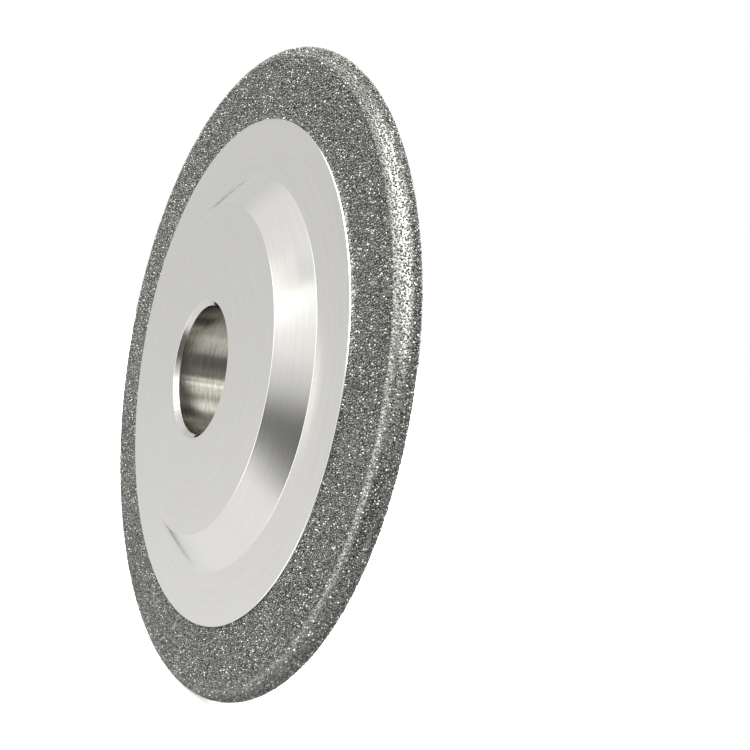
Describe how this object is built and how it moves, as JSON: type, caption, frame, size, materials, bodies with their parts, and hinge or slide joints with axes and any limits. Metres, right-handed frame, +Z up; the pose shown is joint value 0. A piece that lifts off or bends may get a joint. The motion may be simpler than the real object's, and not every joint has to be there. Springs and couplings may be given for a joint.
{
  "type": "diamond grinding wheel",
  "caption": "Steel grinding wheel with a plain bore and raised hub; its band and rounded rim are nickel-plated with diamond grit for shaping stone.",
  "frame": {"origin": "on the bore's axis, halfway through the rim's thickness", "axes": "+Y along the wheel's axis of rotation, out of the low side; the tall side of the hub faces -Y; +Z up"},
  "size_m": [0.127, 0.0126, 0.1269],
  "materials": {
    "turned_steel": "fine turned, satin",
    "nickel_plate": "matt electroplated nickel, rough between the crystals",
    "diamond": "blocky synthetic crystals, pale with grey and greenish grains"
  },
  "bodies": {
    "root": {"wheel_body": "turned_steel", "nickel_bond": "nickel_plate", "diamonds_front": "diamond", "diamonds_rim": "diamond", "diamonds_back": "diamond"}
  },
  "joints": []
}
